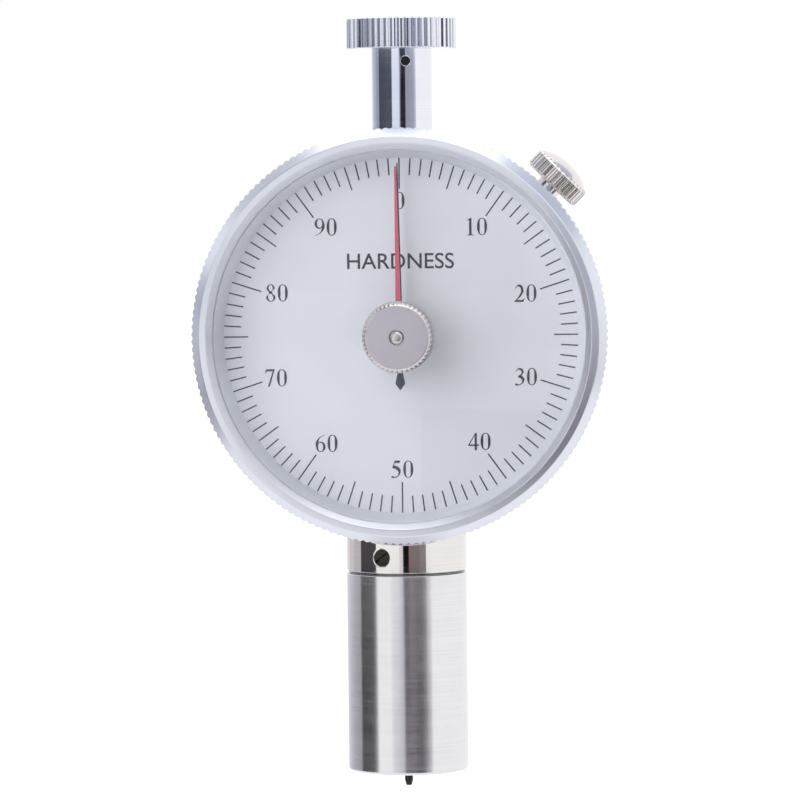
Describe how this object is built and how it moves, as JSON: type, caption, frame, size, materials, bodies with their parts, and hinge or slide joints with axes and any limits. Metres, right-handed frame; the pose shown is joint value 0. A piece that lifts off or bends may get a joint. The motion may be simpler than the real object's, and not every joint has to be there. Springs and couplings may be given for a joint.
{
  "type": "dial hardness tester",
  "caption": "Hand-held dial hardness tester: knurled bezel over a round dial, drag hand, sprung indenter in a cylindrical presser foot, and a stem with a fluted cap.",
  "frame": {"origin": "centre of the presser foot's contact plane, on the indenter's axis", "axes": "+Z along the indenter's axis towards the cap, the dial faces -Y, +X is to the right of someone reading the dial"},
  "size_m": [0.0614, 0.0259, 0.115],
  "materials": {
    "satin_aluminium": "satin, turned",
    "cast_aluminium": "satin, bead blasted",
    "turned_steel": "fine turning lines",
    "polished_steel": "polished",
    "chrome_plate": "polished",
    "nickel_plate": "satin",
    "plain_steel": "machined",
    "spring_steel": "blued wire",
    "black_steel": "black oxide",
    "brass": "machined",
    "dial_enamel": "satin silver white",
    "dial_ring_enamel": "satin",
    "pointer_black": "semi-gloss",
    "pointer_red": "semi-gloss",
    "clear_acrylic": "polished",
    "pale_rubber": "matte silicone"
  },
  "bodies": {
    "housing": {"presser_foot": "turned_steel", "foot_guide_bush": "brass", "collar": "polished_steel", "collar_set_screws": "black_steel", "collar_guide_bush": "brass", "case_body": "cast_aluminium", "bezel_snap_ring": "spring_steel", "back_cover": "cast_aluminium", "back_cover_screws": "plain_steel", "stem": "chrome_plate", "stem_guide_bush": "brass", "spring_adjuster": "plain_steel", "adjuster_lock_screw": "black_steel", "main_spring": "spring_steel", "front_plate": "brass", "rear_plate": "brass", "centre_bridge": "brass", "plate_pillars": "plain_steel", "bridge_pillars": "plain_steel", "plate_screws": "plain_steel", "movement_screws": "plain_steel", "arbor_bushes": "brass", "hairspring": "spring_steel", "hairspring_stud": "brass"},
    "spindle_group": {"spindle": "plain_steel", "indenter": "black_steel", "indenter_grub_screw": "black_steel", "spring_seat": "plain_steel", "guide_pin": "plain_steel"},
    "rack_gear": {"rack_pinion": "plain_steel", "rack_wheel": "brass"},
    "pointer_gear": {"centre_pinion": "plain_steel", "pointer": "pointer_black", "pointer_hub": "brass"},
    "takeup_gear": {"takeup_arbor": "plain_steel", "takeup_wheel": "brass", "hairspring_collet": "brass"},
    "bezel": {"bezel_ring": "satin_aluminium", "crystal": "clear_acrylic", "crystal_gasket": "pale_rubber", "crystal_bush": "nickel_plate", "dial_ring": "dial_ring_enamel", "dial_plate": "dial_enamel"},
    "drag_hand_group": {"drag_hand": "pointer_red", "drag_shaft": "nickel_plate", "drag_knob": "nickel_plate", "friction_washer": "nickel_plate"},
    "clamp_jaw": {"clamp_plate": "plain_steel"},
    "clamp_knob_group": {"clamp_knob": "nickel_plate", "clamp_screw": "black_steel"},
    "cap": {"top_cap": "chrome_plate"}
  },
  "joints": [
    {"name": "spindle_slide", "type": "slide", "parent": "housing", "child": "spindle_group", "axis": [0, 0, 1], "range_m": [0, 0.0025], "stiffness_N_per_m": 3000, "springref_m": -0.00018, "deforming": ["main_spring"]},
    {"name": "rack_gear_turn", "type": "hinge", "parent": "housing", "child": "rack_gear", "pos_m": [-0.00339, 0, 0.05526], "axis": [0, 1, 0], "range_deg": [-60.05, 0]},
    {"name": "pointer_turn", "type": "hinge", "parent": "housing", "child": "pointer_gear", "pos_m": [0, 0, 0.0652], "axis": [0, 1, 0], "range_deg": [0, 360.05]},
    {"name": "takeup_gear_turn", "type": "hinge", "parent": "housing", "child": "takeup_gear", "pos_m": [0.00339, 0, 0.07514], "axis": [0, 1, 0], "range_deg": [-60.05, 0], "deforming": ["hairspring"]},
    {"name": "bezel_turn", "type": "hinge", "parent": "housing", "child": "bezel", "pos_m": [0, 0, 0.0652], "axis": [0, 1, 0], "continuous": true},
    {"name": "drag_hand_turn", "type": "hinge", "parent": "bezel", "child": "drag_hand_group", "pos_m": [0, 0, 0.0652], "axis": [0, 1, 0], "range_deg": [0, 355]},
    {"name": "clamp_lift", "type": "slide", "parent": "housing", "child": "clamp_jaw", "axis": [0.7071, 0, 0.7071], "range_m": [0, 0.0005]},
    {"name": "clamp_turn", "type": "hinge", "parent": "clamp_jaw", "child": "clamp_knob_group", "pos_m": [0.02249, 0.0008, 0.08769], "axis": [0.7071, 0, 0.7071], "range_deg": [0, 360.05]},
    {"name": "cap_lift", "type": "slide", "parent": "housing", "child": "cap", "axis": [0, 0, 1], "range_m": [0, 0.03]}
  ],
  "couplings": [
    {"joint": "rack_gear_turn", "follows": "spindle_slide", "rad_per_m": -418.88},
    {"joint": "pointer_turn", "follows": "spindle_slide", "rad_per_m": 2513.3},
    {"joint": "takeup_gear_turn", "follows": "spindle_slide", "rad_per_m": -418.88},
    {"joint": "clamp_turn", "follows": "clamp_lift", "rad_per_m": 12566}
  ]
}
